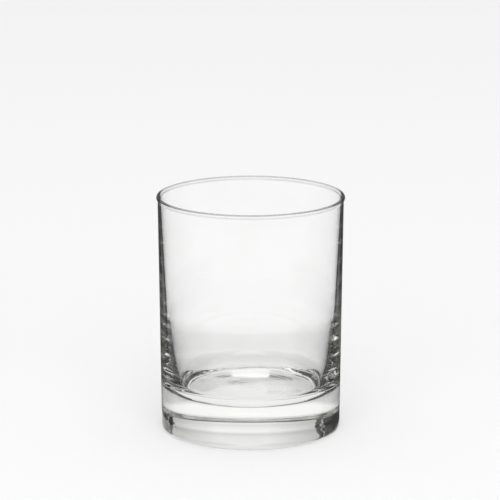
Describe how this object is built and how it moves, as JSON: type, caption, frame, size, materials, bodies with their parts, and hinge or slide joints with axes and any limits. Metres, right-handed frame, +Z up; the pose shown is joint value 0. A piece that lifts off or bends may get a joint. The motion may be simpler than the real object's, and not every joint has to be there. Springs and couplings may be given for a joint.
{
  "type": "whisky tumbler",
  "caption": "Straight-sided clear glass whisky tumbler with a heavy base, a rounded heel and a slim fire-polished rim, standing on a ring round a shallow hollow.",
  "frame": {"origin": "middle of the resting plane, on the glass's axis", "axes": "+Z up along the axis of the glass; +X to the right and +Y away from the viewer in the pictured view, which are free on a turned shape"},
  "size_m": [0.078, 0.078, 0.099],
  "materials": {
    "clear_glass": "fire-polished, clear, faint grey-green in the thick base"
  },
  "bodies": {
    "root": {"heavy_base": "clear_glass", "side_wall": "clear_glass", "rim_bead": "clear_glass"}
  },
  "joints": []
}
